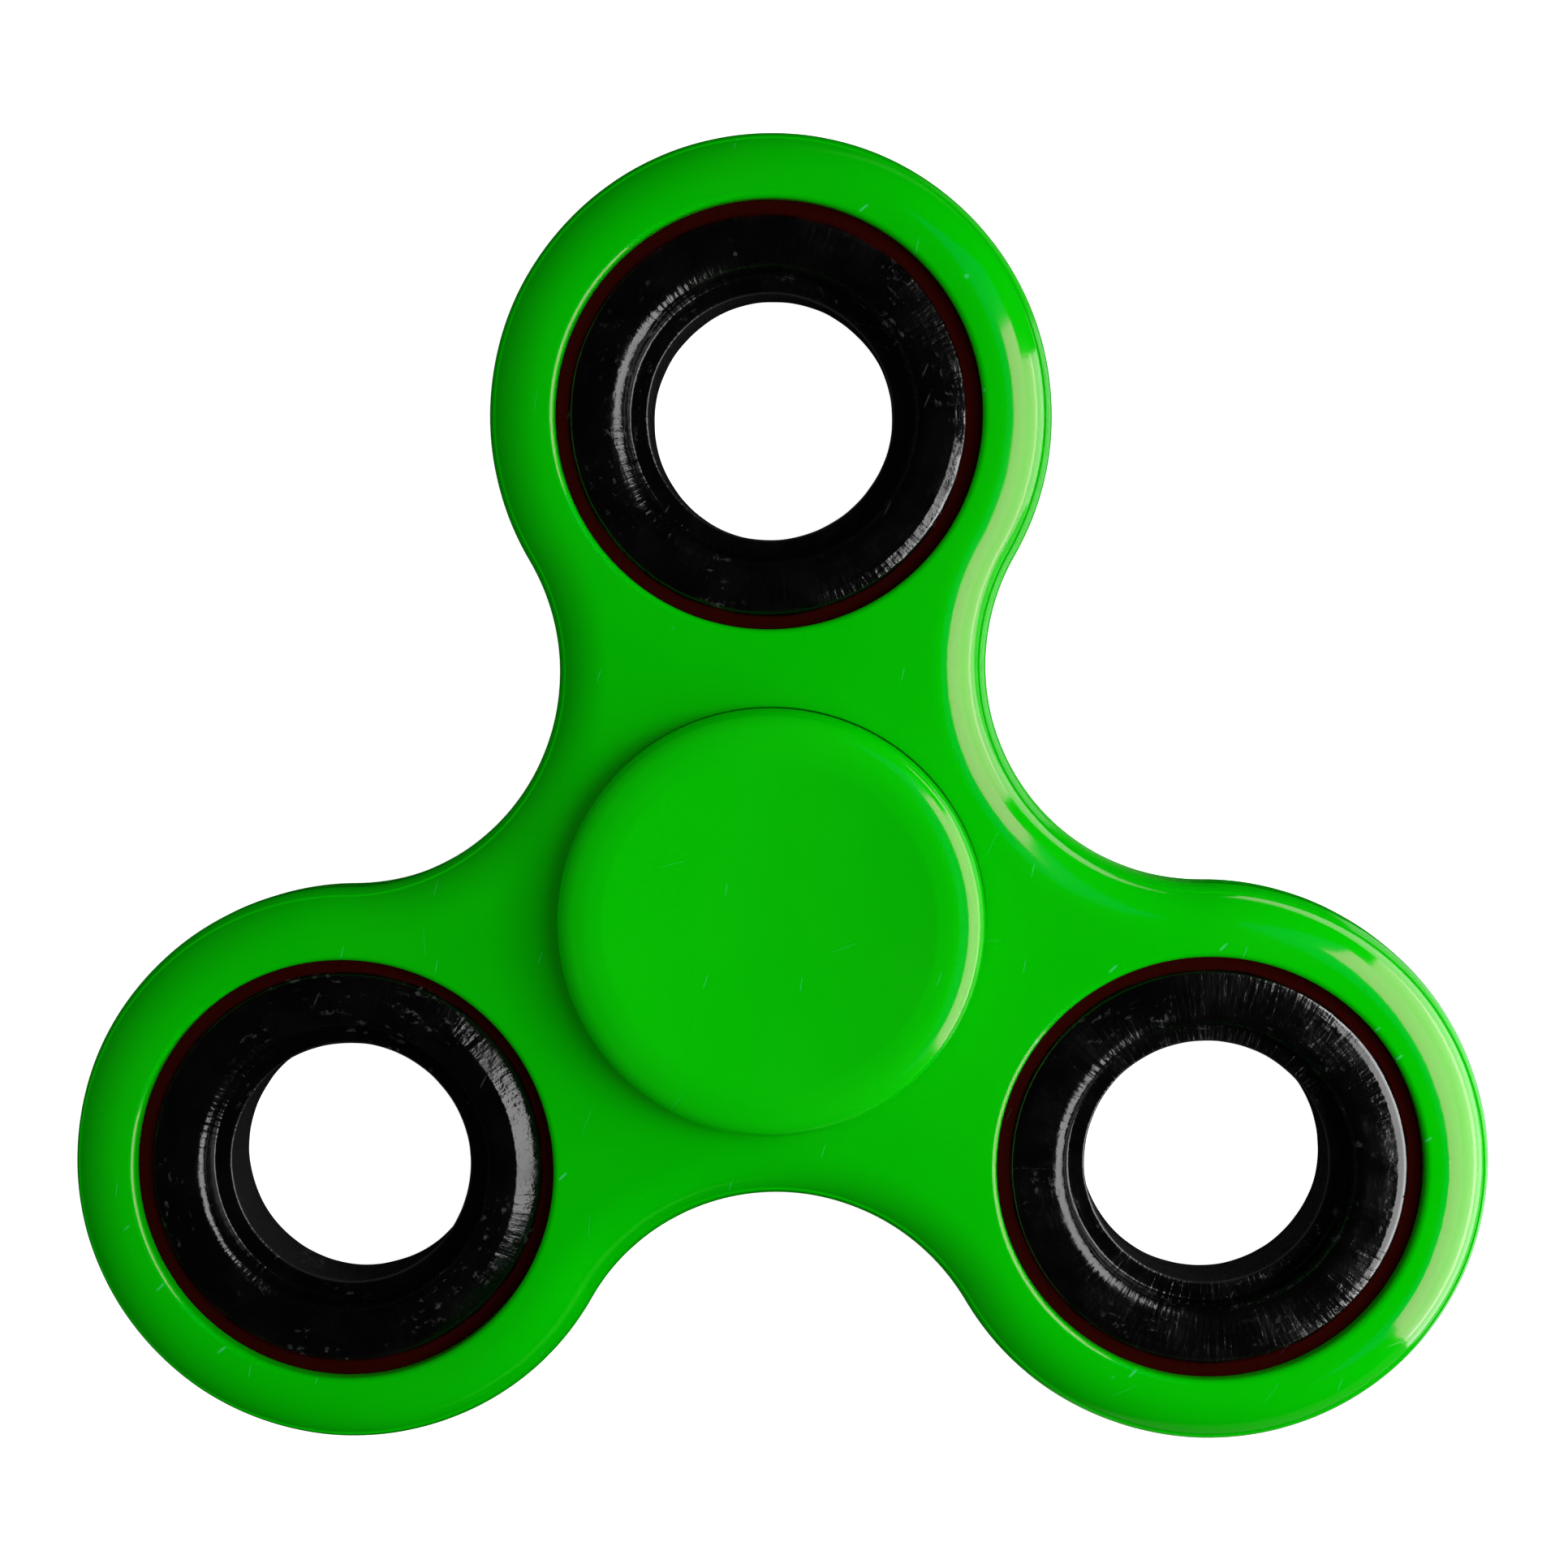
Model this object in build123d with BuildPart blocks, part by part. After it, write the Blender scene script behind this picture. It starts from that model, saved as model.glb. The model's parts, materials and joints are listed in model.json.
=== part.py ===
"""Three-armed fidget spinner: a moulded tri-lobe body with a pressed-in steel ring weight in each arm
and a 608 ball bearing at its centre, pinched between two dished finger caps.

The frame, in millimetres: the origin is the bearing's centre, +Z is the spin axis towards the top cap,
and +Y points along the first arm. Every sub-part is written as its own STEP file.
"""

import os
from math import acos, cos, degrees, radians, sin, sqrt

from build123d import *

# ---------------------------------------------------------------- body dimensions
ARM_COUNT = 3
FIRST_ARM_ANGLE = 90  # degrees from +X
ARM_REACH = 26.0  # spin axis to each weight's axis
LOBE_RADIUS = 14.7
WAIST_RADIUS = 14.65  # spin axis to the nearest point of the concave waist
BODY_THICKNESS = 7.6
BODY_EDGE_RADIUS = 2.8
SEAT_RADIUS = 11.0  # each seat takes a ring or a bearing 22 mm across
SEAT_EDGE_RADIUS = 0.35
EJECTOR_MARK_RADIUS = 1.1
EJECTOR_MARK_DEPTH = 0.1
EJECTOR_MARK_REACH = 14.0
EJECTOR_MARK_OFFSET = 22  # degrees from an arm's middle line

# ---------------------------------------------------------------- ring weight dimensions
WEIGHT_THICKNESS = 6.8
WEIGHT_BORE_RADIUS = 6.3
WEIGHT_COUNTERBORE_RADIUS = 7.3
WEIGHT_COUNTERBORE_DEPTH = 2.0
WEIGHT_CREST_DROP = 0.1  # fall of the slightly domed face from its crest to either corner
WEIGHT_OUTER_CORNER = 1.2
WEIGHT_INNER_CORNER = 0.9
WEIGHT_LEDGE_CORNER = 0.3
WEIGHT_LOWER_CORNER = 0.5

# ---------------------------------------------------------------- bearing dimensions
BEARING_WIDTH = 7.0
BEARING_BORE_RADIUS = 4.0
RACE_CHAMFER = 0.3
BALL_COUNT = 7
FIRST_BALL_ANGLE = 90
BALL_RADIUS = 3.96875 / 2  # a 5/32 inch ball
PITCH_RADIUS = 7.5
RACEWAY_RADIUS = 2.08
BALL_CLEARANCE = 0.016  # a centred ball to the bottom of either raceway
OUTER_LAND_RADIUS = 8.95
INNER_LAND_RADIUS = 6.05
INNER_SHOULDER_RADIUS = 5.85  # inner race's outside, beyond the shield's lip
SHIELD_SEAT_RADIUS = 9.6
SHIELD_THICKNESS = 0.25
SHIELD_BORE_RADIUS = 6.2
SHIELD_RIB_INNER_RADIUS = 7.2
SHIELD_RIB_OUTER_RADIUS = 8.5
SHIELD_RIB_HEIGHT = 0.25
SHIELD_LEVEL = 2.62  # mid-plane to the shield's inner face
SNAP_WIRE_RADIUS = 0.2
SNAP_RING_OPENING = 24  # degrees between the snap ring's ends

# ---------------------------------------------------------------- ball cage dimensions
CAGE_THICKNESS = 0.28
CAGE_INNER_RADIUS = 6.55
CAGE_OUTER_RADIUS = 8.45
CAGE_POCKET_RADIUS = 2.06
RIVET_SHANK_RADIUS = 0.35
RIVET_HEAD_RADIUS = 0.6
RIVET_HEAD_HEIGHT = 0.22

# ---------------------------------------------------------------- finger cap dimensions
CAP_RADIUS = 11.0
CAP_GAP = 0.4  # cap's underside to the body's face
CAP_TOP_LEVEL = 6.9
CAP_SHOULDER_LEVEL = 6.55  # where the sloping rim would meet the cap's side
CAP_CREST_RADIUS = 9.0
CAP_LAND_WIDTH = 0.9  # flat on the crest, before its edges are rounded
CAP_LAND_ROUNDING = 1.5
CAP_DISH_DEPTH = 0.8
CAP_UPPER_CORNER = 1.3
CAP_LOWER_CORNER = 0.5
CAP_BOSS_RADIUS = 5.3
CAP_POST_LENGTH = 3.25
CAP_POST_CHAMFER = 0.4
CAP_CORE_RADIUS = 1.6
CAP_CORE_DEPTH = 3.9

# ---------------------------------------------------------------- worked out from those
HALF_BODY = BODY_THICKNESS / 2
HALF_WEIGHT = WEIGHT_THICKNESS / 2
HALF_BEARING = BEARING_WIDTH / 2
ARM_PITCH = 360 / ARM_COUNT
BALL_PITCH = 360 / BALL_COUNT
RIVET_ANGLE = FIRST_BALL_ANGLE + BALL_PITCH / 2
OUTER_RACEWAY_BOTTOM = PITCH_RADIUS + BALL_RADIUS + BALL_CLEARANCE
INNER_RACEWAY_BOTTOM = PITCH_RADIUS - BALL_RADIUS - BALL_CLEARANCE
SNAP_RING_LEVEL = SHIELD_LEVEL + SHIELD_THICKNESS + SNAP_WIRE_RADIUS
TOLERANCE = 0.01


def polar(radius, angle):
    """The point at that radius and angle, in degrees, in a plane."""
    return (radius * cos(radians(angle)), radius * sin(radians(angle)))


def rims_of_radius(part, radius):
    """The circular edges of that radius on a round piece."""
    rims = part.edges().filter_by(GeomType.CIRCLE)
    return rims.filter_by(lambda rim: abs(rim.radius - radius) < TOLERANCE)


def corners_at(section, radius):
    """A section's corners at that distance from the axis, the lowest first."""
    corners = section.vertices().filter_by(lambda corner: abs(corner.X - radius) < TOLERANCE)
    return corners.sort_by(Axis.Y)


def export(piece, name):
    """Labels a finished piece and writes its STEP file."""
    piece.part.label = name
    export_step(piece.part, f"parts/{name}.step")


def export_pair(upper_piece, name):
    """Writes a piece of the upper face, and its mirror image in the mid-plane for the lower face."""
    export(upper_piece, f"{name}_top")
    with BuildPart() as lower_piece:
        mirror(upper_piece.part, about=Plane.XY)
    export(lower_piece, f"{name}_bottom")


os.makedirs("parts", exist_ok=True)

# ---------------------------------------------------------------- tri-arm body
# The outline is a lobe round each weight and a concave waist arc between two lobes, all tangent.
WAIST_ARC_RADIUS = (
    LOBE_RADIUS**2 - WAIST_RADIUS**2 - ARM_REACH**2 + WAIST_RADIUS * ARM_REACH
) / (2 * WAIST_RADIUS - ARM_REACH - 2 * LOBE_RADIUS)
WAIST_REACH = WAIST_RADIUS + WAIST_ARC_RADIUS
CENTRE_DISTANCE = LOBE_RADIUS + WAIST_ARC_RADIUS
MIDDLE_COS = cos(radians(ARM_PITCH / 2))
LOBE_SWEEP = 360 - 2 * degrees(acos((ARM_REACH - WAIST_REACH * MIDDLE_COS) / CENTRE_DISTANCE))
WAIST_SWEEP = 2 * degrees(acos((WAIST_REACH - ARM_REACH * MIDDLE_COS) / CENTRE_DISTANCE))

with BuildPart() as tri_arm_body:
    with BuildSketch(Plane.XY.offset(-HALF_BODY)):
        with BuildLine():
            for arm in range(ARM_COUNT):
                lobe_angle = FIRST_ARM_ANGLE + arm * ARM_PITCH
                waist_angle = lobe_angle + ARM_PITCH / 2
                lobe_start = lobe_angle - LOBE_SWEEP / 2
                waist_start = waist_angle + 180 + WAIST_SWEEP / 2
                CenterArc(polar(ARM_REACH, lobe_angle), LOBE_RADIUS, lobe_start, LOBE_SWEEP)
                CenterArc(polar(WAIST_REACH, waist_angle), WAIST_ARC_RADIUS, waist_start, -WAIST_SWEEP)
        make_face()
    extrude(amount=BODY_THICKNESS)
    fillet(tri_arm_body.faces().filter_by(Axis.Z).edges(), radius=BODY_EDGE_RADIUS)
    Hole(radius=SEAT_RADIUS)
    with PolarLocations(ARM_REACH, ARM_COUNT, start_angle=FIRST_ARM_ANGLE):
        Hole(radius=SEAT_RADIUS)
    fillet(rims_of_radius(tri_arm_body, SEAT_RADIUS), radius=SEAT_EDGE_RADIUS)
    # Shallow witness marks left on the underside by the mould's ejector pins.
    with BuildSketch(Plane.XY.offset(-HALF_BODY)):
        for side in (-1, 1):
            mark_angle = FIRST_ARM_ANGLE + side * EJECTOR_MARK_OFFSET
            with PolarLocations(EJECTOR_MARK_REACH, ARM_COUNT, start_angle=mark_angle):
                Circle(EJECTOR_MARK_RADIUS)
    extrude(amount=EJECTOR_MARK_DEPTH, mode=Mode.SUBTRACT)
export(tri_arm_body, "tri_arm_body")

# ---------------------------------------------------------------- ring weights
# Both faces are slightly domed, with rounded corners. A counterbore in the upper face has a ledge at
# its foot, and a narrower bore runs from there to the lower face.
LEDGE_LEVEL = HALF_WEIGHT - WEIGHT_COUNTERBORE_DEPTH
FACE_CORNER_LEVEL = HALF_WEIGHT - WEIGHT_CREST_DROP
UPPER_FACE_MIDDLE = (SEAT_RADIUS + WEIGHT_COUNTERBORE_RADIUS) / 2
LOWER_FACE_MIDDLE = (SEAT_RADIUS + WEIGHT_BORE_RADIUS) / 2

for arm in range(ARM_COUNT):
    weight_centre = (*polar(ARM_REACH, FIRST_ARM_ANGLE + arm * ARM_PITCH), 0)
    section_plane = Plane(weight_centre, x_dir=Plane.XZ.x_dir, z_dir=Plane.XZ.z_dir)
    with BuildPart() as ring_weight:
        with BuildSketch(section_plane) as weight_section:
            with BuildLine():
                Polyline(
                    (WEIGHT_COUNTERBORE_RADIUS, FACE_CORNER_LEVEL),
                    (WEIGHT_COUNTERBORE_RADIUS, LEDGE_LEVEL),
                    (WEIGHT_BORE_RADIUS, LEDGE_LEVEL),
                    (WEIGHT_BORE_RADIUS, -FACE_CORNER_LEVEL),
                )
                ThreePointArc(
                    (WEIGHT_BORE_RADIUS, -FACE_CORNER_LEVEL),
                    (LOWER_FACE_MIDDLE, -HALF_WEIGHT),
                    (SEAT_RADIUS, -FACE_CORNER_LEVEL),
                )
                Line((SEAT_RADIUS, -FACE_CORNER_LEVEL), (SEAT_RADIUS, FACE_CORNER_LEVEL))
                ThreePointArc(
                    (SEAT_RADIUS, FACE_CORNER_LEVEL),
                    (UPPER_FACE_MIDDLE, HALF_WEIGHT),
                    (WEIGHT_COUNTERBORE_RADIUS, FACE_CORNER_LEVEL),
                )
            make_face()
            fillet(corners_at(weight_section, SEAT_RADIUS)[-1], radius=WEIGHT_OUTER_CORNER)
            fillet(corners_at(weight_section, SEAT_RADIUS)[0], radius=WEIGHT_OUTER_CORNER)
            fillet(corners_at(weight_section, WEIGHT_COUNTERBORE_RADIUS)[-1], radius=WEIGHT_INNER_CORNER)
            fillet(corners_at(weight_section, WEIGHT_BORE_RADIUS)[-1], radius=WEIGHT_LEDGE_CORNER)
            fillet(corners_at(weight_section, WEIGHT_BORE_RADIUS)[0], radius=WEIGHT_LOWER_CORNER)
        revolve(axis=Axis(weight_centre, Plane.XY.z_dir))
    export(ring_weight, f"ring_weight_{arm + 1}")

# ---------------------------------------------------------------- bearing races
SHIELD_SEAT_DEPTH = HALF_BEARING - SHIELD_LEVEL

with BuildPart() as bearing_outer_race:
    with BuildSketch(Plane.XZ):
        with Locations(((SEAT_RADIUS + OUTER_LAND_RADIUS) / 2, 0)):
            Rectangle(SEAT_RADIUS - OUTER_LAND_RADIUS, BEARING_WIDTH)
        with Locations((OUTER_RACEWAY_BOTTOM - RACEWAY_RADIUS, 0)):
            Circle(RACEWAY_RADIUS, mode=Mode.SUBTRACT)
        for side in (-1, 1):
            # The stepped seat for a shield, and the groove for its snap ring.
            with Locations((OUTER_LAND_RADIUS, side * (SHIELD_LEVEL + SHIELD_SEAT_DEPTH / 2))):
                seat_width = 2 * (SHIELD_SEAT_RADIUS - OUTER_LAND_RADIUS)
                Rectangle(seat_width, SHIELD_SEAT_DEPTH, mode=Mode.SUBTRACT)
            with Locations((SHIELD_SEAT_RADIUS, side * SNAP_RING_LEVEL)):
                Circle(SNAP_WIRE_RADIUS, mode=Mode.SUBTRACT)
    revolve(axis=Axis.Z)
    chamfer(rims_of_radius(bearing_outer_race, SEAT_RADIUS), length=RACE_CHAMFER)
export(bearing_outer_race, "bearing_outer_race")

with BuildPart() as bearing_inner_race:
    with BuildSketch(Plane.XZ):
        with Locations(((INNER_LAND_RADIUS + BEARING_BORE_RADIUS) / 2, 0)):
            Rectangle(INNER_LAND_RADIUS - BEARING_BORE_RADIUS, BEARING_WIDTH)
        with Locations((INNER_RACEWAY_BOTTOM + RACEWAY_RADIUS, 0)):
            Circle(RACEWAY_RADIUS, mode=Mode.SUBTRACT)
        for side in (-1, 1):
            # A step that clears the shield's lip.
            with Locations((INNER_LAND_RADIUS, side * (SHIELD_LEVEL + SHIELD_SEAT_DEPTH / 2))):
                step_width = 2 * (INNER_LAND_RADIUS - INNER_SHOULDER_RADIUS)
                Rectangle(step_width, SHIELD_SEAT_DEPTH, mode=Mode.SUBTRACT)
    revolve(axis=Axis.Z)
    chamfer(rims_of_radius(bearing_inner_race, BEARING_BORE_RADIUS), length=RACE_CHAMFER)
export(bearing_inner_race, "bearing_inner_race")

# ---------------------------------------------------------------- balls
for ball in range(BALL_COUNT):
    with BuildPart() as bearing_ball:
        with Locations((*polar(PITCH_RADIUS, FIRST_BALL_ANGLE + ball * BALL_PITCH), 0)):
            Sphere(BALL_RADIUS)
    export(bearing_ball, f"bearing_ball_{ball + 1}")

# ---------------------------------------------------------------- ball cage
# Each half is a pressed ribbon: flat webs between the balls, riveted to the other half's webs,
# and a domed pocket over each ball.
with BuildPart() as cage_half:
    with BuildSketch() as cage_ring:
        Circle(CAGE_OUTER_RADIUS)
        Circle(CAGE_INNER_RADIUS, mode=Mode.SUBTRACT)
    extrude(amount=CAGE_THICKNESS)
    with PolarLocations(PITCH_RADIUS, BALL_COUNT, start_angle=FIRST_BALL_ANGLE):
        Sphere(CAGE_POCKET_RADIUS + CAGE_THICKNESS)
    extrude(cage_ring.sketch, amount=HALF_BEARING, mode=Mode.INTERSECT)
    with PolarLocations(PITCH_RADIUS, BALL_COUNT, start_angle=FIRST_BALL_ANGLE):
        Sphere(CAGE_POCKET_RADIUS, mode=Mode.SUBTRACT)
    with PolarLocations(PITCH_RADIUS, BALL_COUNT, start_angle=RIVET_ANGLE):
        Hole(radius=RIVET_SHANK_RADIUS)
export_pair(cage_half, "cage_half")

with BuildPart() as cage_rivets:
    with PolarLocations(PITCH_RADIUS, BALL_COUNT, start_angle=RIVET_ANGLE):
        Cylinder(RIVET_SHANK_RADIUS, 2 * CAGE_THICKNESS)
        for side in (-1, 1):
            with Locations((0, 0, side * (CAGE_THICKNESS + RIVET_HEAD_HEIGHT / 2))):
                Cylinder(RIVET_HEAD_RADIUS, RIVET_HEAD_HEIGHT)
export(cage_rivets, "cage_rivets")

# ---------------------------------------------------------------- shields and their snap rings
# A shield is a pressed disc with one raised rib, drawn as its inner face and offset upwards.
with BuildPart() as bearing_shield:
    with BuildSketch(Plane.XZ):
        with BuildLine():
            inner_face = [
                (SHIELD_BORE_RADIUS, SHIELD_LEVEL),
                (SHIELD_RIB_INNER_RADIUS - SHIELD_RIB_HEIGHT, SHIELD_LEVEL),
                (SHIELD_RIB_INNER_RADIUS, SHIELD_LEVEL + SHIELD_RIB_HEIGHT),
                (SHIELD_RIB_OUTER_RADIUS, SHIELD_LEVEL + SHIELD_RIB_HEIGHT),
                (SHIELD_RIB_OUTER_RADIUS + SHIELD_RIB_HEIGHT, SHIELD_LEVEL),
                (SHIELD_SEAT_RADIUS, SHIELD_LEVEL),
            ]
            outer_face = [(radius, level + SHIELD_THICKNESS) for radius, level in inner_face]
            Polyline(*inner_face, *reversed(outer_face), close=True)
        make_face()
    revolve(axis=Axis.Z)
export_pair(bearing_shield, "bearing_shield")

with BuildPart() as shield_snap_ring:
    with BuildSketch(Plane.XZ):
        with Locations((SHIELD_SEAT_RADIUS, SNAP_RING_LEVEL)):
            Circle(SNAP_WIRE_RADIUS)
    revolve(axis=Axis.Z, revolution_arc=360 - SNAP_RING_OPENING)
export_pair(shield_snap_ring, "shield_snap_ring")

# ---------------------------------------------------------------- finger caps
# A dished pad with a flat on its crest, a boss that bears on the inner race, and a cored post
# that presses into the inner race's bore.
CAP_UNDERSIDE_LEVEL = HALF_BODY + CAP_GAP
POST_END_LEVEL = HALF_BEARING - CAP_POST_LENGTH
LAND_INNER_RADIUS = CAP_CREST_RADIUS - CAP_LAND_WIDTH / 2
LAND_OUTER_RADIUS = CAP_CREST_RADIUS + CAP_LAND_WIDTH / 2
DISH_RADIUS = (LAND_INNER_RADIUS**2 + CAP_DISH_DEPTH**2) / (2 * CAP_DISH_DEPTH)
DISH_LEVEL = CAP_TOP_LEVEL - CAP_DISH_DEPTH
DISH_MIDDLE_RADIUS = LAND_INNER_RADIUS / 2
DISH_MIDDLE_LEVEL = DISH_LEVEL + DISH_RADIUS - sqrt(DISH_RADIUS**2 - DISH_MIDDLE_RADIUS**2)

with BuildPart() as finger_cap:
    with BuildSketch(Plane.XZ) as cap_section:
        with BuildLine():
            ThreePointArc(
                (0, DISH_LEVEL),
                (DISH_MIDDLE_RADIUS, DISH_MIDDLE_LEVEL),
                (LAND_INNER_RADIUS, CAP_TOP_LEVEL),
            )
            Polyline(
                (LAND_INNER_RADIUS, CAP_TOP_LEVEL),
                (LAND_OUTER_RADIUS, CAP_TOP_LEVEL),
                (CAP_RADIUS, CAP_SHOULDER_LEVEL),
                (CAP_RADIUS, CAP_UNDERSIDE_LEVEL),
                (CAP_BOSS_RADIUS, CAP_UNDERSIDE_LEVEL),
                (CAP_BOSS_RADIUS, HALF_BEARING),
                (BEARING_BORE_RADIUS, HALF_BEARING),
                (BEARING_BORE_RADIUS, POST_END_LEVEL + CAP_POST_CHAMFER),
                (BEARING_BORE_RADIUS - CAP_POST_CHAMFER, POST_END_LEVEL),
                (CAP_CORE_RADIUS, POST_END_LEVEL),
                (CAP_CORE_RADIUS, POST_END_LEVEL + CAP_CORE_DEPTH),
                (0, POST_END_LEVEL + CAP_CORE_DEPTH),
                (0, DISH_LEVEL),
            )
        make_face()
        fillet(corners_at(cap_section, CAP_RADIUS)[0], radius=CAP_LOWER_CORNER)
        fillet(corners_at(cap_section, CAP_RADIUS)[-1], radius=CAP_UPPER_CORNER)
        for land_edge in (LAND_INNER_RADIUS, LAND_OUTER_RADIUS):
            fillet(corners_at(cap_section, land_edge)[-1], radius=CAP_LAND_ROUNDING)
    revolve(axis=Axis.Z)
export_pair(finger_cap, "finger_cap")
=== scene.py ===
"""Fidget spinner: the looks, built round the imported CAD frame.

The moulded body, the painted ring weights and the two finger caps are modelled here at their CAD sizes, with
the small faults of real mouldings and paint. The bearing's parts are the CAD nodes with finer materials.
Lengths are in metres. MM turns millimetres into them.
"""

import json
from math import acos, asin, atan2, ceil, cos, degrees, hypot, pi, radians, sin, sqrt, tan

import bmesh
import bpy
import numpy as np
from mathutils import Euler, Matrix, Vector, noise
from mathutils.geometry import delaunay_2d_cdt


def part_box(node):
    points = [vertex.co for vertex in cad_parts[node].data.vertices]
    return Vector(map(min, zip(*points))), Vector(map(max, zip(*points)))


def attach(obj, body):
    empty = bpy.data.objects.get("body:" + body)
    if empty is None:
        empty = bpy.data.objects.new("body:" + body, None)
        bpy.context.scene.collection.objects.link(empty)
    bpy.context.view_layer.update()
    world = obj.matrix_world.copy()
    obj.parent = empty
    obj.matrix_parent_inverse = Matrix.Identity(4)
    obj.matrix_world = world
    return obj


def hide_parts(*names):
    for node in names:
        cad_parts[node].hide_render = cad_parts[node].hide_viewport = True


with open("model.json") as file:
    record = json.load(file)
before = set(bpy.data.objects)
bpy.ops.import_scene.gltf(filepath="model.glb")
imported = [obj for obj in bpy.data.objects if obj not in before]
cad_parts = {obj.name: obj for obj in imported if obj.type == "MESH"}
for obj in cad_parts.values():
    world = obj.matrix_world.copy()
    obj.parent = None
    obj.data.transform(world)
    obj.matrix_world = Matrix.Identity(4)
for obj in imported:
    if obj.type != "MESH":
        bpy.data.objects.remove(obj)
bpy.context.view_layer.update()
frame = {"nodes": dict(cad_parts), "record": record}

MM = 0.001

# ---------------------------------------------------------------- sizes read from the frame
mounts = {m["name"]: m for m in frame["record"]["mounts"]}
body_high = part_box("tri_arm_body")[1]
ring_low, ring_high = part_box("ring_weight_1")
cap_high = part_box("finger_cap_top")[1]
race_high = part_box("bearing_outer_race")[1]

ARM_COUNT = 3
ARM_CENTRES = [Vector(mounts[f"weight_bore_{arm + 1}"]["pos_m"]) for arm in range(ARM_COUNT)]
ARM_REACH = ARM_CENTRES[0].length
FIRST_ARM_ANGLE = 90
ARM_PITCH = 360 / ARM_COUNT
HALF_BODY = body_high.z
LOBE_RADIUS = body_high.y - ARM_REACH
SEAT_RADIUS = (ring_high.x - ring_low.x) / 2
HALF_WEIGHT = ring_high.z
WEIGHT_BORE_RADIUS = mounts["weight_bore_1"]["dims"]["r_mm"] * MM
CAP_RADIUS = cap_high.x
CAP_TOP = cap_high.z
HALF_BEARING = race_high.z
FLOOR_LEVEL = -CAP_TOP

# ---------------------------------------------------------------- sizes of the moulded shapes
BODY_EDGE_RADIUS = 2.8 * MM
SEAT_EDGE_RADIUS = 0.35 * MM
HUB_SEAT_EDGE_RADIUS = 0.08 * MM
EJECTOR_MARK_RADIUS = 1.1 * MM
EJECTOR_MARK_DEPTH = 0.1 * MM
EJECTOR_MARK_REACH = 14.0 * MM
EJECTOR_MARK_OFFSET = 22  # degrees either side of each arm
PARTING_RIDGE_WIDTH = 0.16 * MM
PARTING_RIDGE_HEIGHT = 0.02 * MM
LINE_INSET = 0.36 * MM  # the moulded line, in from the outline
LINE_WIDTH = 0.1 * MM

COUNTERBORE_RADIUS = 7.3 * MM
COUNTERBORE_DEPTH = 2.0 * MM
RING_FACE_CROWN = 0.06 * MM  # how much the middle of a ring's face stands above its edges
PAINT_RADIUS = 10.2 * MM  # where the black paint ends
PAINT_STEP = 0.2 * MM  # from the paint's edge down to the bevel, where a dark red reflection is painted on
BEVEL_RADIUS = PAINT_RADIUS + 0.13 * MM
BEVEL_DROP = 0.12 * MM
RING_PAINT = (
    # For each ring, in mm and degrees: the width and sag of the paint's sloping outer part, the rounding of
    # the counterbore's corner, how much more the paint sags on one side, that side's direction and how far it
    # reaches either way, and the paint's centre off the ring's own.
    {"width": 0.6, "sag": 0.11, "corner": 1.1, "lean": 0.16, "side": -62, "reach": 65, "off": (-0.06, -0.08)},
    {"width": 1.15, "sag": 0.25, "corner": 0.75, "lean": 0.42, "side": 0, "reach": 80, "off": (0.05, 0.05)},
    {"width": 0.5, "sag": 0.12, "corner": 0.9, "lean": 0.06, "side": -20, "reach": 80, "off": (-0.05, 0.05)},
)
LEAN_FADE = 35  # degrees

CAP_DISH_DEPTH = 0.8 * MM
CAP_DISH_RADIUS = 8.55 * MM
CAP_LAND_RADIUS = 9.45 * MM
CAP_GAP = 0.2 * MM
CAP_BOSS_RADIUS = 5.3 * MM
CAP_POST_RADIUS = 4.0 * MM
CAP_POST_LENGTH = 3.25 * MM
CAP_CORE_RADIUS = 1.6 * MM
CAP_CORE_DEPTH = 3.9 * MM
CAP_RIM = (
    # radius, depth below the crest and rounding of each corner between the crest and the cap's side, in mm
    (10.377, 0.209, 1.3),
    (10.665, 0.517, 0.03),
    (10.87, 0.9, 0.5),
)
CAP_SIDE_DEPTH = 1.9 * MM
CAP_SIDE_TAPER = 0.04 * MM

# ---------------------------------------------------------------- how finely the shapes are cut up
OUTLINE_STEP = 0.4 * MM
PROFILE_STEP = 0.16 * MM
FACE_GRID = 0.8 * MM
RING_SEGMENTS = 300
CAP_SEGMENTS = 256
DISH_STEPS = 40


def waist_radius():
    """Spin axis to the body's waist, measured on the CAD body along -Y."""
    body = frame["nodes"]["tri_arm_body"]
    hit, place, _, _ = body.ray_cast(Vector((0, -2 * ARM_REACH, 0)), Vector((0, 1, 0)))
    assert hit, "the body's waist was not found"
    return -place.y


# ---------------------------------------------------------------- mesh helpers
def polar(radius, angle):
    """The point at that radius and angle, in degrees, in the XY plane."""
    return Vector((radius * cos(radians(angle)), radius * sin(radians(angle))))


def rounded(corners, step):
    """A polyline through corners, each (x, y, radius), with its corners rounded by arcs of that radius."""
    points = [Vector(corners[0][:2])]
    for before, (x, y, radius), after in zip(corners, corners[1:], corners[2:]):
        corner = Vector((x, y))
        back = (Vector(before[:2]) - corner).normalized()
        ahead = (Vector(after[:2]) - corner).normalized()
        if radius == 0:
            points.append(corner)
            continue
        half_angle = back.angle(ahead) / 2
        inwards = (back + ahead).normalized()
        centre = corner + inwards * (radius / sin(half_angle))
        start = corner + back * (radius / tan(half_angle)) - centre
        turn = pi - 2 * half_angle
        side = 1 if back.cross(start) > 0 else -1
        count = max(2, ceil(radius * turn / step))
        for n in range(count + 1):
            c, s = cos(side * turn * n / count), sin(side * turn * n / count)
            points.append(centre + Vector((start.x * c - start.y * s, start.x * s + start.y * c)))
    points.append(Vector(corners[-1][:2]))
    return points


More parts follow.
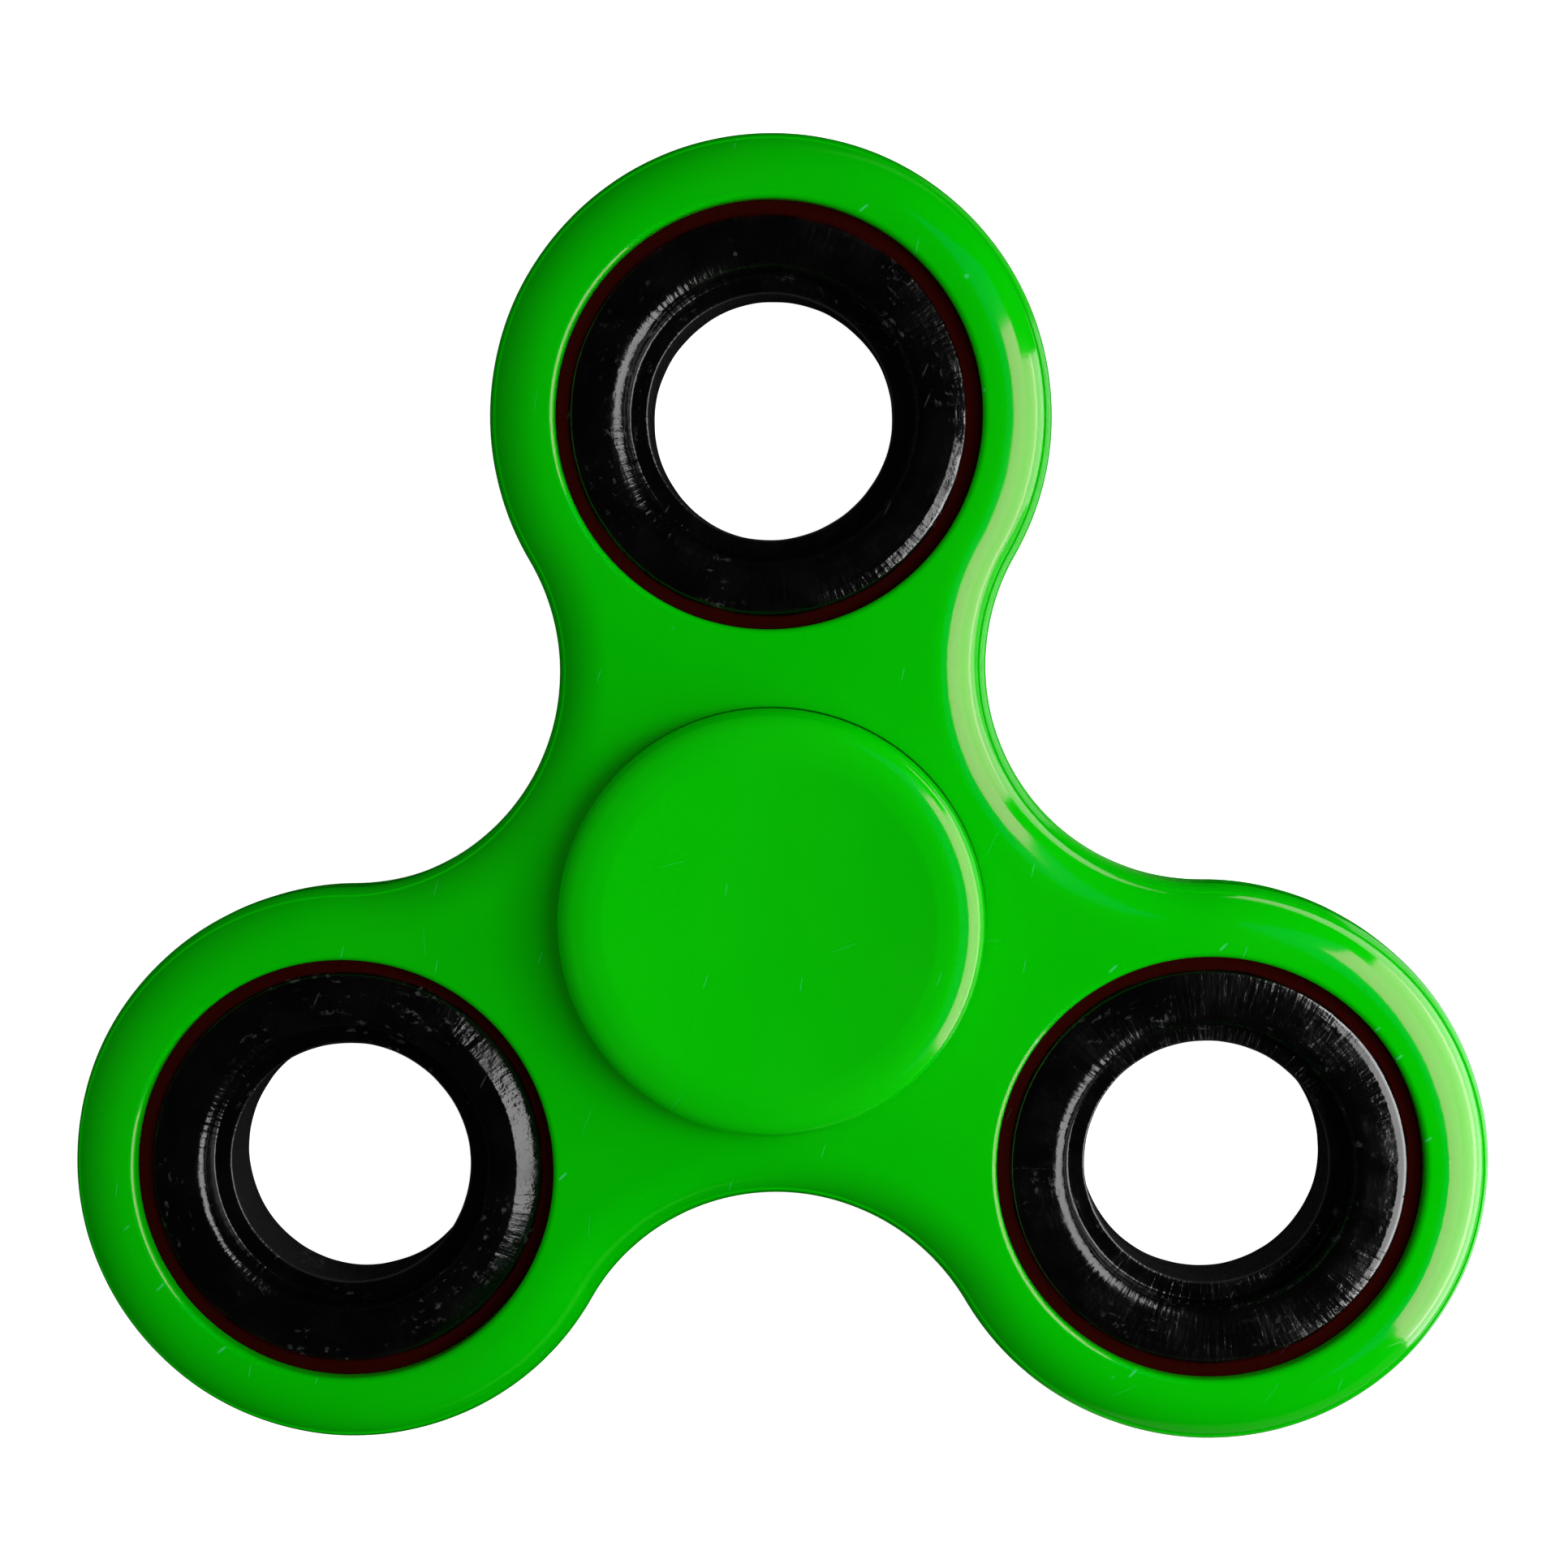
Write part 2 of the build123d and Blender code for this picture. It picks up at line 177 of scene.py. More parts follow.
def subdivided(points, step):
    """The same polyline with no stretch longer than step."""
    finer = [points[0]]
    for start, end in zip(points, points[1:]):
        count = max(1, ceil((end - start).length / step - 1e-6))
        finer += [start.lerp(end, n / count) for n in range(1, count + 1)]
    return finer


def tidy(points, closest):
    """The polyline without points that nearly repeat the one before."""
    kept = [points[0]]
    for point in points[1:]:
        if (point - kept[-1]).length > closest:
            kept.append(point)
    return kept


class Build:
    """Vertices and faces gathered from several patches, welded into one mesh at the end."""

    def __init__(self):
        self.points = []
        self.faces = []

    def strip(self, loops, closed):
        """Quads between successive rings of equally many points. closed joins the last ring to the first."""
        first = len(self.points)
        size = len(loops[0])
        for loop in loops:
            self.points += [Vector(point) for point in loop]
        count = len(loops)
        for row in range(count if closed else count - 1):
            here = first + row * size
            there = first + (row + 1) % count * size
            for n in range(size):
                after = (n + 1) % size
                self.faces.append((here + n, here + after, there + after, there + n))

    def fan(self, centre, loop):
        """Triangles from a centre to a closed loop."""
        first = len(self.points)
        self.points += [Vector(centre)] + [Vector(point) for point in loop]
        size = len(loop)
        for n in range(size):
            self.faces.append((first, first + 1 + n, first + 1 + (n + 1) % size))

    def sheet(self, points, triangles):
        """A patch of given points and faces."""
        first = len(self.points)
        self.points += [Vector(point) for point in points]
        self.faces += [tuple(first + corner for corner in triangle) for triangle in triangles]

    def finish(self, name, weld=0.002 * MM, crease=180):
        """The welded, outward-facing, smooth object. Edges that turn by over crease degrees stay sharp."""
        mesh = bpy.data.meshes.new(name)
        mesh.from_pydata(self.points, [], self.faces)
        built = bmesh.new()
        built.from_mesh(mesh)
        bmesh.ops.remove_doubles(built, verts=built.verts, dist=weld)
        bmesh.ops.dissolve_degenerate(built, edges=built.edges, dist=weld / 4)
        bmesh.ops.recalc_face_normals(built, faces=built.faces)
        for face in built.faces:
            face.smooth = True
        for edge in built.edges:
            edge.smooth = edge.calc_face_angle(0) < radians(crease)
        built.to_mesh(mesh)
        built.free()
        piece = bpy.data.objects.new(name, mesh)
        bpy.context.scene.collection.objects.link(piece)
        return piece


def lathe(build, profile, segments, centre, closed):
    """Turns a profile of (radius, height) points round a vertical axis. Its ends may lie on the axis."""
    angles = [2 * pi * n / segments for n in range(segments)]
    loops = []
    tips = []
    for radius, height in profile:
        if radius < 1e-9:
            tips.append(height)
            continue
        loops.append([(centre.x + radius * cos(t), centre.y + radius * sin(t), height) for t in angles])
    build.strip(loops, closed)
    for height in tips:
        nearest = min((loops[0], loops[-1]), key=lambda loop: abs(loop[0][2] - height))
        build.fan((centre.x, centre.y, height), nearest)


def waver(piece, layers, seed, limit=None):
    """Sinks each vertex along its normal by smooth noise: layers of (size of a lump, height).

    limit gives the share of it that a vertex gets, from its place.
    """
    shift = Vector((seed * 7.31, seed * 3.17, seed * 1.93))
    moves = []
    for vertex in piece.data.vertices:
        height = 0.0
        for size, amount in layers:
            height += amount * (noise.noise(vertex.co / size + shift) - 1)
        share = limit(vertex.co) if limit else 1.0
        moves.append(vertex.normal * height * share)
    for vertex, move in zip(piece.data.vertices, moves):
        vertex.co += move
    piece.data.update()


def keep_flats(piece):
    """Weighted normals, so that wide flats stay flat beside their rounded edges."""
    weighted = piece.modifiers.new("weighted_normals", "WEIGHTED_NORMAL")
    weighted.weight = 80
    weighted.keep_sharp = True


def mirrored_in_z(loop):
    """The same loop on the other side of the mid-plane."""
    return [(x, y, -z) for x, y, z in loop]


# ---------------------------------------------------------------- node helpers
class Nodes:
    """A short way to write a material's node tree. Each method adds a node and gives the output it makes."""

    def __init__(self, name):
        self.material = bpy.data.materials.new(name)
        self.material.use_nodes = True
        self.tree = self.material.node_tree
        self.tree.nodes.clear()
        self.output = self.tree.nodes.new("ShaderNodeOutputMaterial")

    def node(self, kind, inputs=None, **settings):
        """A new node of any kind, whole, with its inputs and settings."""
        made = self.tree.nodes.new(kind)
        for key, value in settings.items():
            setattr(made, key, value)
        for key, value in (inputs or {}).items():
            self.set(made.inputs[key], value)
        return made

    def set(self, socket, value):
        """Links a socket into an input, or sets it to a plain value."""
        if isinstance(value, bpy.types.NodeSocket):
            self.tree.links.new(value, socket)
        else:
            socket.default_value = value

    def math(self, operation, *values, clamp=False):
        made = self.node("ShaderNodeMath", operation=operation, use_clamp=clamp)
        for socket, value in zip(made.inputs, values):
            self.set(socket, value)
        return made.outputs[0]

    def product(self, first, *others):
        for other in others:
            first = self.math("MULTIPLY", first, other)
        return first

    def most(self, first, *others):
        for other in others:
            first = self.math("MAXIMUM", first, other)
        return first

    def total(self, first, *others):
        for other in others:
            first = self.math("ADD", first, other)
        return first

    def vector_math(self, operation, *values):
        made = self.node("ShaderNodeVectorMath", dict(enumerate(values)), operation=operation)
        return made.outputs["Value" if operation == "DISTANCE" else "Vector"]

    def attribute(self, name, output):
        """A value that the mesh carries on its vertices."""
        made = self.node("ShaderNodeAttribute", attribute_name=name, attribute_type="GEOMETRY")
        return made.outputs[output]

    def split(self, vector):
        return self.node("ShaderNodeSeparateXYZ", {"Vector": vector}).outputs

    def joined(self, **axes):
        return self.node("ShaderNodeCombineXYZ", axes).outputs[0]

    def mix(self, factor, first, second):
        made = self.node("ShaderNodeMix", data_type="RGBA")
        self.set(made.inputs["Factor"], factor)
        self.set(made.inputs[6], first)
        self.set(made.inputs[7], second)
        return made.outputs[2]

    def place(self, scale=(1, 1, 1)):
        """The point's place on the piece, in metres, times scale."""
        coordinates = self.node("ShaderNodeTexCoord").outputs["Object"]
        return self.node("ShaderNodeMapping", {"Vector": coordinates, "Scale": scale}).outputs["Vector"]

    def noise(self, scale, detail=2.0, roughness=0.5, where=None):
        inputs = {"Scale": scale, "Detail": detail, "Roughness": roughness}
        inputs["Vector"] = where if where is not None else self.place()
        return self.node("ShaderNodeTexNoise", inputs).outputs["Fac"]

    def span(self, value, low, high, to_low=0.0, to_high=1.0):
        """A smooth step from to_low where value is low to to_high where it is high."""
        inputs = {"Value": value, "From Min": low, "From Max": high, "To Min": to_low, "To Max": to_high}
        made = self.node("ShaderNodeMapRange", inputs, clamp=True, interpolation_type="SMOOTHSTEP")
        return made.outputs[0]

    def bump(self, height, distance):
        inputs = {"Height": height, "Distance": distance, "Strength": 1.0}
        return self.node("ShaderNodeBump", inputs).outputs[0]

    def emission(self, strength, colour=(1, 1, 1, 1)):
        return self.node("ShaderNodeEmission", {"Color": colour, "Strength": strength}).outputs[0]

    def diffuse(self, grey):
        return self.node("ShaderNodeBsdfDiffuse", {"Color": (grey, grey, grey, 1)}).outputs[0]

    def added(self, first, *others):
        """The sum of shaders."""
        for other in others:
            first = self.node("ShaderNodeAddShader", {0: first, 1: other}).outputs[0]
        return first

    def blended(self, factor, first, second):
        """The first shader where factor is 0 and the second where it is 1."""
        return self.node("ShaderNodeMixShader", {0: factor, 1: first, 2: second}).outputs[0]

    def finish(self, shader):
        self.set(self.output.inputs["Surface"], shader)
        return self.material


def scratches(n, cell, length, width, share, slant, spread, seed):
    """A mask of short straight scratches on upward and downward faces, at most one to a square cell.

    share is how many of the cells have one. slant is their direction and spread its range, in degrees.
    """
    scaled = n.place(scale=(1 / cell, 1 / cell, 0))
    shifted = n.vector_math("ADD", scaled, (seed, 0.37 * seed, seed))
    cells = n.vector_math("FLOOR", shifted)
    chance = n.node("ShaderNodeTexWhiteNoise", {"Vector": cells}, noise_dimensions="3D")
    turn, east, north = n.node("ShaderNodeSeparateColor", {"Color": chance.outputs["Color"]}).outputs[:3]
    x, y, _ = n.split(n.vector_math("FRACTION", shifted))
    x = n.math("SUBTRACT", x, n.span(east, 0, 1, 0.3, 0.7))
    y = n.math("SUBTRACT", y, n.span(north, 0, 1, 0.3, 0.7))
    angle = n.total(n.product(n.math("SUBTRACT", turn, 0.5), radians(spread)), radians(slant))
    sine, cosine = n.math("SINE", angle), n.math("COSINE", angle)
    along = n.total(n.product(x, cosine), n.product(y, sine))
    across = n.math("SUBTRACT", n.product(y, cosine), n.product(x, sine))
    thin = n.span(n.math("ABSOLUTE", across), width / cell * 0.3, width / cell, 1.0, 0.0)
    short = n.span(n.math("ABSOLUTE", along), length / cell * 0.2, length / cell * 0.5, 1.0, 0.0)
    shown = n.math("LESS_THAN", chance.outputs["Value"], share)
    level = n.split(n.node("ShaderNodeNewGeometry").outputs["True Normal"])[2]
    flat = n.math("GREATER_THAN", n.math("ABSOLUTE", level), 0.6)
    return n.product(thin, short, shown, flat)


def specks(n, scale, size, share):
    """A mask of small round specks, on that share of a grid's cells."""
    cells = n.node("ShaderNodeTexVoronoi", {"Vector": n.place(), "Scale": scale}, feature="F1")
    chance = n.node("ShaderNodeSeparateColor", {"Color": cells.outputs["Color"]}).outputs[0]
    dot = n.span(cells.outputs["Distance"], size * 0.6, size, 1.0, 0.0)
    return n.product(dot, n.math("LESS_THAN", chance, share))


# ---------------------------------------------------------------- materials
GREEN = (0.0, 0.53, 0.0, 1)
GREEN_DEEP = (0.0, 0.50, 0.0, 1)
GREEN_PALE = (0.05, 0.62, 0.16, 1)
SHEEN_TINT = (1.0, 0.1, 0.5, 1)
PAINT_BLACK = (0.0008, 0.0008, 0.0009, 1)
PAINT_THIN = (0.0022, 0.002, 0.002, 1)
# Painted light: the bore's wall gets a lighter grey than the black face, standing in for the light it catches
BORE_PAINTED_LIGHT = (0.02, 0.02, 0.021, 1)
PAINT_WORN = (0.075, 0.076, 0.08, 1)
# Painted reflection: the dark red that the ring's outer corner shows of the seat's wall, painted into its
# colour
PAINTED_REFLECTION_RED = (0.025, 0.0018, 0.0012, 1)


def beside_seats(n):
    """A mask of the strip of the body's face just outside the ring weights."""
    gap = 1.0
    for centre in ARM_CENTRES:
        gap = n.math("MINIMUM", gap, n.vector_math("DISTANCE", n.place(scale=(1, 1, 0)), (*centre[:2], 0)))
    return n.span(gap, SEAT_RADIUS + 0.5 * MM, SEAT_RADIUS + 1.2 * MM, 1.0, 0.0)


def green_plastic(name, shade, roughness, ripple_height):
    """Glossy moulded plastic: faint flow mottling, a soft ripple, handling scratches and pale specks."""
    n = Nodes(name)
    deep, pale = [(0, shade * colour[1], 0, 1) for colour in (GREEN_DEEP, GREEN)]
    colour = n.mix(n.span(n.noise(60, detail=3.0), 0.3, 0.7), deep, pale)
    upright = scratches(n, 5.2 * MM, 0.9 * MM, 0.035 * MM, share=0.35, slant=90, spread=40, seed=0)
    crossing = scratches(n, 7.0 * MM, 1.8 * MM, 0.025 * MM, share=0.30, slant=0, spread=360, seed=5)
    nicks = scratches(n, 1.5 * MM, 0.7 * MM, 0.08 * MM, share=0.16, slant=70, spread=70, seed=9)
    nicks = n.product(nicks, beside_seats(n))
    dust = specks(n, scale=300, size=0.07, share=0.10)
    marks = n.most(n.product(upright, 0.5), n.product(crossing, 0.25), n.product(nicks, 0.8))
    colour = n.mix(n.most(marks, n.product(dust, 0.7)), colour, GREEN_PALE)
    ripple = n.noise(260, detail=1.5)
    peel = n.noise(1400, detail=2.0)
    mottle = n.product(n.span(n.noise(75, detail=2.0), 0.48, 0.62), n.noise(1500, detail=2.0))
    height = n.total(ripple, n.product(peel, 0.06), n.product(dust, 0.25), n.product(mottle, 0.3))
    height = n.math("SUBTRACT", height, n.product(n.most(upright, crossing), 0.15))
    haze = n.span(n.noise(130, detail=4.0), 0.35, 0.75, roughness, roughness + 0.05)
    shader = n.node(
        "ShaderNodeBsdfPrincipled",
        {
            "Base Color": colour,
            "Roughness": haze,
            "IOR": 1.5,
            "Specular Tint": SHEEN_TINT,
            "Normal": n.bump(height, ripple_height),
        },
    )
    return n.finish(shader.outputs[0])


def ring_paint(name):
    """Thick black gloss paint on turned steel, lumpy and scuffed, with a painted dark red reflection at the
    outer corner.

    outer_edge is how far a vertex lies past the black paint's end, in mm, and from_axis is its place from the
    ring's centre.
    """
    n = Nodes(name)
    past = n.attribute("outer_edge", "Fac")
    wander = n.product(n.math("SUBTRACT", n.noise(500, detail=3.0), 0.5), 0.3)
    # The band past the black paint's edge where the dark red reflection is painted on, with a wandering
    # border
    painted_reflection = n.span(n.total(past, wander), -0.05, 0.14)
    glossy = n.span(past, -0.09, -0.01, 1.0, 0.0)
    x, y, z = n.split(n.attribute("from_axis", "Vector"))
    angle = n.math("ARCTAN2", y, x)
    radius = n.math("SQRT", n.total(n.product(x, x), n.product(y, y)))

    def ring_noise(around_scale, across_scale):
        """Noise drawn out along the ring where around_scale is low, and across it where across_scale is."""
        where = n.joined(X=n.product(angle, around_scale), Y=n.product(radius, across_scale), Z=z)
        return n.noise(1.0, detail=2.0, where=where)

    spokes = ring_noise(around_scale=34, across_scale=500)
    grooves = ring_noise(around_scale=4, across_scale=2600)
    patches = n.span(n.noise(230, detail=2.0), 0.5, 0.62)
    grit = n.noise(2400, detail=3.0, roughness=0.6)
    scuffs = n.product(patches, n.span(grit, 0.53, 0.66), n.span(grooves, 0.5, 0.62))
    ticks = scratches(n, 2.3 * MM, 0.9 * MM, 0.05 * MM, share=0.14, slant=90, spread=60, seed=3)
    dust = specks(n, scale=600, size=0.08, share=0.08)
    worn = n.most(n.product(scuffs, 0.6), n.product(n.most(ticks, dust), 0.4))
    colour = n.mix(n.span(n.noise(500, detail=4.0), 0.4, 0.7), PAINT_BLACK, PAINT_THIN)
    # Painted light on the bore's wall: a lighter grey inside the bore
    in_bore = n.span(radius, WEIGHT_BORE_RADIUS + 0.05 * MM, WEIGHT_BORE_RADIUS + 0.2 * MM, 1.0, 0.0)
    colour = n.mix(in_bore, colour, BORE_PAINTED_LIGHT)
    colour = n.mix(worn, colour, PAINT_WORN)
    # Painted reflection: dark red on the outer corner, matte there, cut by the ticks
    colour = n.mix(n.math("SUBTRACT", painted_reflection, n.product(ticks, 0.5), clamp=True), colour, PAINTED_REFLECTION_RED)
    lumps = n.noise(700, detail=3.0)
    height = n.total(n.product(lumps, 0.8), n.product(spokes, 0.9), n.product(grooves, patches, 0.9))
    height = n.total(height, n.product(grit, 0.7))
    shader = n.node(
        "ShaderNodeBsdfPrincipled",
        {
            "Base Color": colour,
            "Roughness": n.span(n.noise(420, detail=3.0), 0.35, 0.7, 0.14, 0.26),
            "IOR": 1.5,
            "Specular IOR Level": n.product(n.span(past, -0.25, -0.06, 0.42, 1.0), glossy),
            "Normal": n.bump(height, 0.05 * MM),
        },
    )
    return n.finish(shader.outputs[0])


def turned_steel(name, colour, roughness, marks, depth):
    """Steel with fine rings left by turning or grinding round the spin axis."""
    n = Nodes(name)
    x, y, z = n.split(n.place())
    radius = n.math("SQRT", n.total(n.product(x, x), n.product(y, y)))
    lines = n.noise(marks, detail=3.0, roughness=0.7, where=n.joined(X=radius, Y=z))
    stain = n.noise(350, detail=4.0)
    dark = tuple(channel * 0.72 for channel in colour[:3]) + (1,)
    shade = n.mix(n.span(n.product(n.total(lines, stain), 0.5), 0.35, 0.65), dark, colour)
    shader = n.node(
        "ShaderNodeBsdfPrincipled",
        {
            "Base Color": shade,
            "Metallic": 1.0,
            "Roughness": n.span(lines, 0.3, 0.7, roughness, roughness + 0.15),
            "Normal": n.bump(lines, depth),
        },
    )
    return n.finish(shader.outputs[0])


def pressed_steel(name, colour, roughness):
    """Bright sheet steel with rolling marks and a slight orange peel from the press."""
    n = Nodes(name)
    grain = n.noise(1.0, detail=3.0, where=n.place(scale=(300, 5200, 5200)))
    peel = n.noise(1500, detail=2.0)
    dark = tuple(channel * 0.7 for channel in colour[:3]) + (1,)
    shader = n.node(
        "ShaderNodeBsdfPrincipled",
        {
            "Base Color": n.mix(n.span(grain, 0.3, 0.7), dark, colour),
            "Metallic": 1.0,
            "Roughness": n.span(grain, 0.3, 0.7, roughness, roughness + 0.15),
            "Normal": n.bump(n.total(n.product(grain, 0.5), peel), 0.006 * MM),
        },
    )
    return n.finish(shader.outputs[0])


# ---------------------------------------------------------------- tri-arm body
def outline():
    """Points round the body with their outward normals: a lobe round each weight and a waist between two."""
    waist = waist_radius()
    excess = LOBE_RADIUS**2 - waist**2 - ARM_REACH**2 + waist * ARM_REACH
    arc = excess / (2 * waist - ARM_REACH - 2 * LOBE_RADIUS)
    reach = waist + arc
    between = LOBE_RADIUS + arc
    middle = cos(radians(ARM_PITCH / 2))
    lobe_sweep = 360 - 2 * degrees(acos((ARM_REACH - reach * middle) / between))
    waist_sweep = 2 * degrees(acos((reach - ARM_REACH * middle) / between))
    points = []
    for arm in range(ARM_COUNT):
        lobe_angle = FIRST_ARM_ANGLE + arm * ARM_PITCH
        waist_angle = lobe_angle + ARM_PITCH / 2
        arcs = (
            (polar(ARM_REACH, lobe_angle), LOBE_RADIUS, lobe_angle - lobe_sweep / 2, lobe_sweep, 1),
            (polar(reach, waist_angle), arc, waist_angle + 180 + waist_sweep / 2, -waist_sweep, -1),
        )
        for centre, radius, start, sweep, outwards in arcs:
            count = ceil(radius * radians(abs(sweep)) / OUTLINE_STEP)
            for n in range(count):
                spoke = polar(1, start + sweep * n / count)
                points.append((centre + spoke * radius, spoke * outwards))
    return points


def circle(centre, radius, step):
    """Points round a circle in the XY plane, at most step apart."""
    count = ceil(2 * pi * radius / step)
    return [Vector(centre[:2]) + polar(radius, 360 * n / count) for n in range(count)]


def inside(points, loop):
    """For each point in an array of (x, y), is it inside a closed loop?"""
    x, y = points[:, 0], points[:, 1]
    odd = np.zeros(len(points), dtype=bool)
    for a, b in zip(loop, loop[1:] + loop[:1]):
        if a.y != b.y:
            crosses = ((a.y > y) != (b.y > y)) & (x < a.x + (y - a.y) / (b.y - a.y) * (b.x - a.x))
            odd ^= crosses
    return odd


def face_patch(outer, holes, marks):
    """A flat face inside the outer loop and outside the holes, as points and triangles.

    marks are loops that it keeps as edges, such as the rims of ejector marks.
    """
    loops = [outer] + holes + marks
    border = np.array([point[:] for loop in loops for point in loop])
    edges = []
    first = 0
    for loop in loops:
        edges += [(first + n, first + (n + 1) % len(loop)) for n in range(len(loop))]
        first += len(loop)

    def on_face(points):
        """For each point, is it inside the outer loop and outside every hole?"""
        return inside(points, outer) & ~np.any([inside(points, hole) for hole in holes], axis=0)

    lows, highs = border.min(0), border.max(0)
    row_pitch = FACE_GRID * sqrt(0.75)
    grid = []
    for row in range(int((highs[1] - lows[1]) / row_pitch) + 1):
        for column in range(int((highs[0] - lows[0]) / FACE_GRID) + 1):
            grid.append((lows[0] + (column + row % 2 / 2) * FACE_GRID, lows[1] + row * row_pitch))
    grid = np.array(grid)
    grid = grid[on_face(grid)]
    gap = np.array([np.hypot(*(border - point).T).min() for point in grid])
    grid = grid[gap > FACE_GRID * 0.6]
    corners = [Vector(point) for point in np.vstack((border, grid))]
    made, _, triangles, _, _, _ = delaunay_2d_cdt(corners, edges, [], 0, 1e-9)
    middles = np.array([np.mean([made[corner][:] for corner in triangle], axis=0) for triangle in triangles])
    shown = on_face(middles)
    return made, [triangle for triangle, keep in zip(triangles, shown) if keep]


def edge_profile():
    """The bullnose as (inset, height), with a fine step moulded low on it, down to the parting ridge."""
    radius = BODY_EDGE_RADIUS - PARTING_RIDGE_HEIGHT
    turn = asin(1 - LINE_INSET / radius)

    def arc(start, end, inset):
        count = ceil(radius * (end - start) / PROFILE_STEP)
        angles = [start + (end - start) * n / count for n in range(count + 1)]
        return [Vector((inset + radius * (1 - sin(t)), HALF_BODY - radius * (1 - cos(t)))) for t in angles]

    upper = arc(0, turn, PARTING_RIDGE_HEIGHT + LINE_WIDTH)
    lower = arc(turn, pi / 2, PARTING_RIDGE_HEIGHT)
    wall = subdivided([lower[-1], Vector((PARTING_RIDGE_HEIGHT, PARTING_RIDGE_WIDTH / 2))], 0.5 * MM)
    return upper + lower + wall[1:] + [Vector((0, 0))]


def seat_profile(edge_radius):
    """A seat's upper half as (radius, height): its rounded edge, and its wall down to the mid-plane."""
    corners = [
        (SEAT_RADIUS + edge_radius, HALF_BODY, 0),
        (SEAT_RADIUS, HALF_BODY, edge_radius),
        (SEAT_RADIUS, 0, 0),
    ]
    return tidy(subdivided(rounded(corners, edge_radius / 6), 0.8 * MM), 0.01 * MM)


def make_body():
    """The tri-arm body: bullnose outline, four seats, a parting ridge and ejector marks underneath."""
    build = Build()
    rim = outline()
    edge = edge_profile()
    upper = [[(*(p - normal * inset), height) for p, normal in rim] for inset, height in edge]
    build.strip(upper, closed=False)
    build.strip([mirrored_in_z(loop) for loop in upper], closed=False)

    seats = [(Vector((0, 0, 0)), HUB_SEAT_EDGE_RADIUS)]
    seats += [(centre, SEAT_EDGE_RADIUS) for centre in ARM_CENTRES]
    for centre, edge_radius in seats:
        loops = []
        for radius, height in seat_profile(edge_radius):
            loops.append([(*p, height) for p in circle(centre, radius, OUTLINE_STEP * radius / SEAT_RADIUS)])
        build.strip(loops, closed=False)
        build.strip([mirrored_in_z(loop) for loop in loops], closed=False)

    outer = [p - normal * edge[0].x for p, normal in rim]
    lips = [(centre, SEAT_RADIUS + edge_radius) for centre, edge_radius in seats]
    holes = [circle(centre, lip, OUTLINE_STEP * lip / SEAT_RADIUS) for centre, lip in lips]
    points, triangles = face_patch(outer, holes, [])
    build.sheet([(*p, HALF_BODY) for p in points], triangles)

    marks = []
    for arm in range(ARM_COUNT):
        for side in (-1, 1):
            angle = FIRST_ARM_ANGLE + arm * ARM_PITCH + side * EJECTOR_MARK_OFFSET
            centre = polar(EJECTOR_MARK_REACH, angle)
            marks.append((centre, circle(centre, EJECTOR_MARK_RADIUS, 0.2 * MM)))
            marks.append((centre, circle(centre, EJECTOR_MARK_RADIUS - EJECTOR_MARK_DEPTH / 2, 0.2 * MM)))
    points, triangles = face_patch(outer, holes, [loop for _, loop in marks])
    lowered = []
    for p in points:
        sunk = any((p - centre).length < EJECTOR_MARK_RADIUS - EJECTOR_MARK_DEPTH / 4 for centre, _ in marks)
        lowered.append((*p, -HALF_BODY + (EJECTOR_MARK_DEPTH if sunk else 0)))
    build.sheet(lowered, triangles)

    body = build.finish("moulded_body", crease=30)

    def clear_of_seats(co):
        """None of the noise on the seats' walls, where the weights and the bearing are pressed in."""
        nearest = min(hypot(co.x - centre.x, co.y - centre.y) for centre, _ in seats)
        return min(1.0, max(0.0, (nearest - SEAT_RADIUS) / (0.6 * MM)))

    waver(body, [(6 * MM, 0.022 * MM), (2.2 * MM, 0.006 * MM)], seed=1, limit=clear_of_seats)
    keep_flats(body)
    return body


# ---------------------------------------------------------------- ring weights
def ring_profile(width, sag, inner_corner):
    """A closed section of (radius, height): a bevelled, painted ring with a counterbore in its upper face.

    The paint's outer part slopes down by sag over width to a rounded brow, with the bevel beyond it, which
    carries a painted dark red reflection.
    """
    face = HALF_WEIGHT - RING_FACE_CROWN
    paint_edge = face - sag
    bevel_top = paint_edge - PAINT_STEP
    bevel_end = bevel_top - BEVEL_DROP
    ledge = HALF_WEIGHT - COUNTERBORE_DEPTH
    slope_start = PAINT_RADIUS - width
    crown = (slope_start + COUNTERBORE_RADIUS + inner_corner) / 2
    outer_half = [
        (SEAT_RADIUS, bevel_end, 0.05 * MM),
        (BEVEL_RADIUS, bevel_top, 0.05 * MM),
        (PAINT_RADIUS, paint_edge, 0.22 * MM),
        (slope_start, face, width * 1.5),
    ]
    corners = [
        (SEAT_RADIUS, 0, 0),
        *outer_half,
        (crown, HALF_WEIGHT, 4 * MM),
        (COUNTERBORE_RADIUS, face, inner_corner),
        (COUNTERBORE_RADIUS, ledge, 0.12 * MM),
        (WEIGHT_BORE_RADIUS, ledge, 0.18 * MM),
        (WEIGHT_BORE_RADIUS, -face, 0.5 * MM),
        (crown, -HALF_WEIGHT, 4 * MM),
        *[(radius, -height, corner) for radius, height, corner in outer_half[::-1]],
        (SEAT_RADIUS, 0, 0),
    ]
    return tidy(subdivided(rounded(corners, 0.06 * MM), 0.15 * MM), 0.01 * MM)[:-1]


